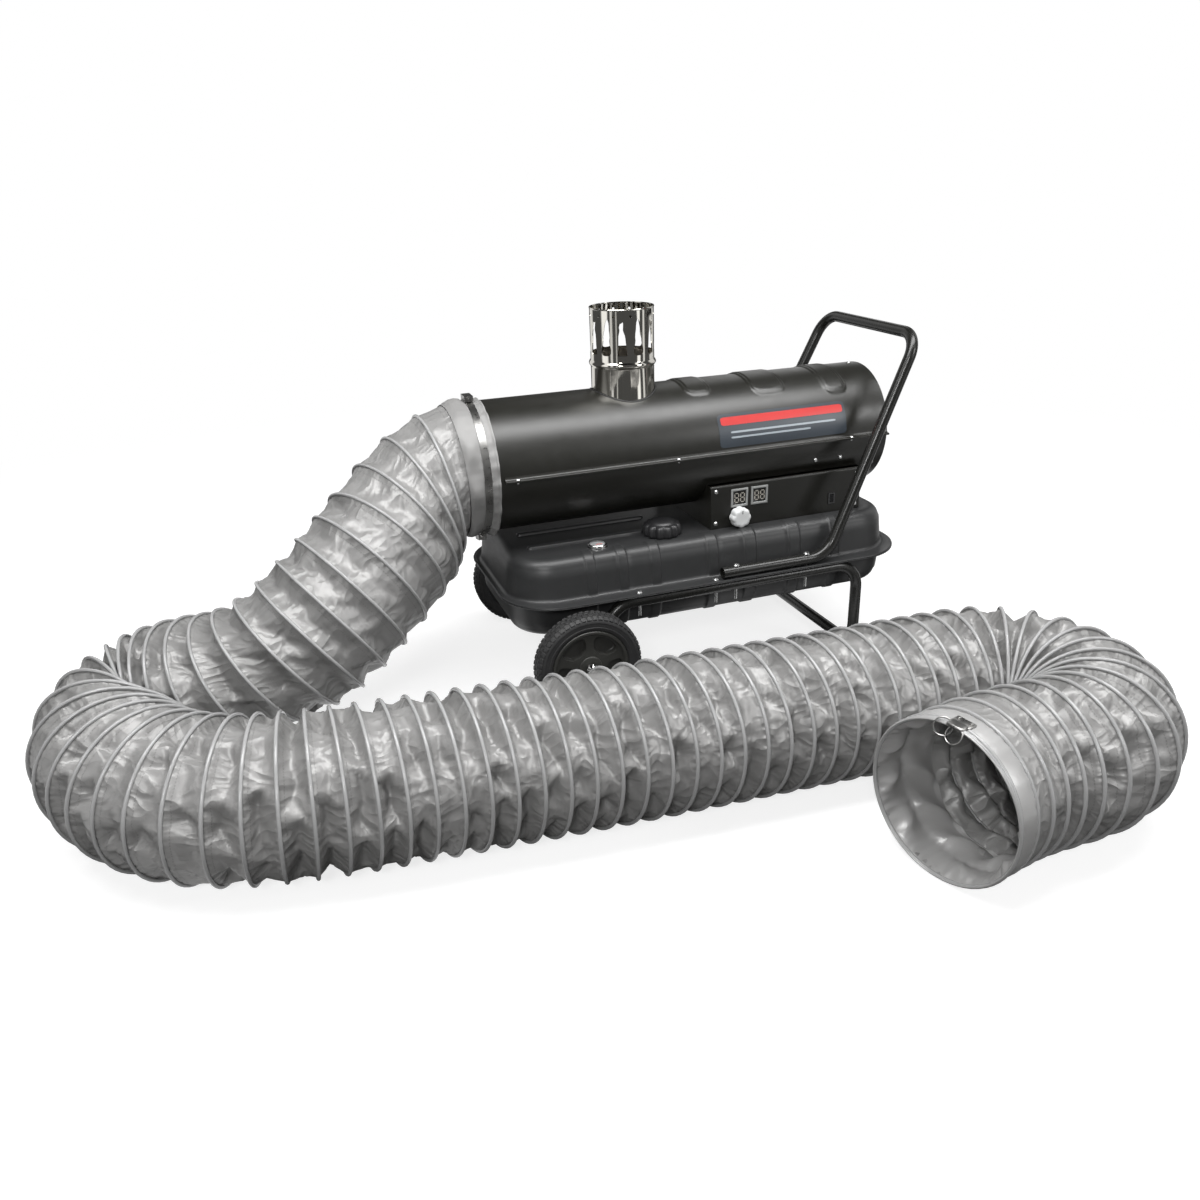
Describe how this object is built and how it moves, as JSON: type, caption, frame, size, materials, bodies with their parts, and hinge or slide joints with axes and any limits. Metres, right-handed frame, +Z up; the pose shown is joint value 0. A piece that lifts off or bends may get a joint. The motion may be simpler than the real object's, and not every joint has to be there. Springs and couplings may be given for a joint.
{
  "type": "indirect fired space heater",
  "caption": "Wheeled oil space heater: black barrel on a flanged fuel tank, slotted steel flue, side control box, tube handle, and a long ribbed warm-air duct laid out in front.",
  "frame": {"origin": "on the floor under the middle of the heater, measured without the duct and its clamps", "axes": "+X towards the fan end, the warm-air outlet at -X; -Y the side with the controls and fuel cap; +Z up"},
  "size_m": [1.6987, 1.2469, 0.697],
  "materials": {
    "black_coat": "satin powder coat",
    "tank_coat": "satin charcoal powder coat",
    "tube_black": "gloss black enamel",
    "stainless": "polished stainless steel",
    "exchanger_steel": "plain mill finish",
    "zinc": "bright zinc plate",
    "motor_paint": "matt enamel",
    "fan_metal": "plain",
    "brass_fitting": "plain",
    "black_plastic": "fine grain",
    "switch_black": "gloss",
    "knob_grey": "satin",
    "display_clear": "smoked clear",
    "board_green": "satin",
    "liner_rubber": "matt",
    "gauge_glass": "clear",
    "pointer_red": "matt",
    "wheel_plastic": "satin",
    "tyre_black": "matt",
    "cap_chrome": "bright",
    "duct_cloth": "coated cloth, semi gloss"
  },
  "bodies": {
    "heater": {"air_pump": "motor_paint", "axle": "zinc", "axle_caps": "cap_chrome", "bracket_screws": "zinc", "burner_head": "exchanger_steel", "cable_gland": "black_plastic", "combustion_chamber": "exchanger_steel", "control_board": "board_green", "control_box": "black_coat", "drain_plug": "zinc", "duct": "duct_cloth", "end_clamp_band": "stainless", "exchanger_stays": "exchanger_steel", "filler_strainer": "stainless", "flue": "stainless", "frame_bolts": "zinc", "frame_tube": "tube_black", "fuel_line": "brass_fitting", "fuel_nozzle": "brass_fitting", "fuel_pickup": "exchanger_steel", "gauge_body": "black_plastic", "gauge_lens": "gauge_glass", "guard_screws": "zinc", "handle_bolts": "zinc", "handle_tube": "tube_black", "heat_exchanger": "exchanger_steel", "igniter": "black_plastic", "ignition_transformer": "motor_paint", "lower_shell": "black_coat", "motor": "motor_paint", "motor_bracket": "exchanger_steel", "outlet_clamp_band": "stainless", "outlet_clamp_buckles": "stainless", "panel_screws": "zinc", "photocell": "black_plastic", "rear_guard": "black_coat", "seam_screws": "zinc", "side_panel": "black_coat", "switch_body": "switch_black", "tank_lower": "tank_coat", "tank_upper": "tank_coat", "temperature_display": "display_clear", "thermostat": "black_plastic", "timer_display": "display_clear", "upper_shell": "black_coat", "wheel_spacers": "zinc"},
    "wheel_near": {"rim_near": "wheel_plastic", "tyre_near": "tyre_black"},
    "wheel_far": {"rim_far": "wheel_plastic", "tyre_far": "tyre_black"},
    "rotor": {"fan": "fan_metal", "motor_shaft": "zinc"},
    "knob": {"knob": "knob_grey"},
    "rocker": {"rocker": "switch_black"},
    "cap_liner": {"cap_liner": "liner_rubber"},
    "cap_shell": {"cap_shell": "black_plastic"},
    "float": {"gauge_float": "black_plastic"},
    "pointer": {"gauge_pointer": "pointer_red"}
  },
  "joints": [
    {"name": "wheel_near_spin", "type": "hinge", "parent": "heater", "child": "wheel_near", "pos_m": [-0.281, -0.2345, 0.1005], "axis": [0, 1, 0], "continuous": true},
    {"name": "wheel_far_spin", "type": "hinge", "parent": "heater", "child": "wheel_far", "pos_m": [-0.281, 0.2345, 0.1005], "axis": [0, 1, 0], "continuous": true},
    {"name": "fan_spin", "type": "hinge", "parent": "heater", "child": "rotor", "pos_m": [0.358, 0, 0.427], "axis": [1, 0, 0], "continuous": true},
    {"name": "knob_turn", "type": "hinge", "parent": "heater", "child": "knob", "pos_m": [0.074, -0.136, 0.3012], "axis": [0, 1, 0], "range_deg": [0, 270]},
    {"name": "rocker_tip", "type": "hinge", "parent": "heater", "child": "rocker", "pos_m": [0.2815, -0.1236, 0.309], "axis": [1, 0, 0], "range_deg": [-16, 0]},
    {"name": "cap_rise", "type": "slide", "parent": "heater", "child": "cap_liner", "axis": [0, 0, 1], "range_m": [0, 0.006]},
    {"name": "cap_turn", "type": "hinge", "parent": "cap_liner", "child": "cap_shell", "pos_m": [-0.078, -0.104, 0.295], "axis": [0, 0, 1], "range_deg": [0, 540]},
    {"name": "float_swing", "type": "hinge", "parent": "heater", "child": "float", "pos_m": [-0.215, -0.1105, 0.21], "axis": [0, 1, 0], "range_deg": [-25, 25]},
    {"name": "pointer_turn", "type": "hinge", "parent": "heater", "child": "pointer", "pos_m": [-0.215, -0.118, 0.2837], "axis": [0, 0, 1], "range_deg": [-45, 45]}
  ],
  "couplings": [
    {"joint": "cap_rise", "follows": "cap_turn", "m_per_rad": 0.0006366},
    {"joint": "pointer_turn", "follows": "float_swing", "ratio": 1.8}
  ]
}
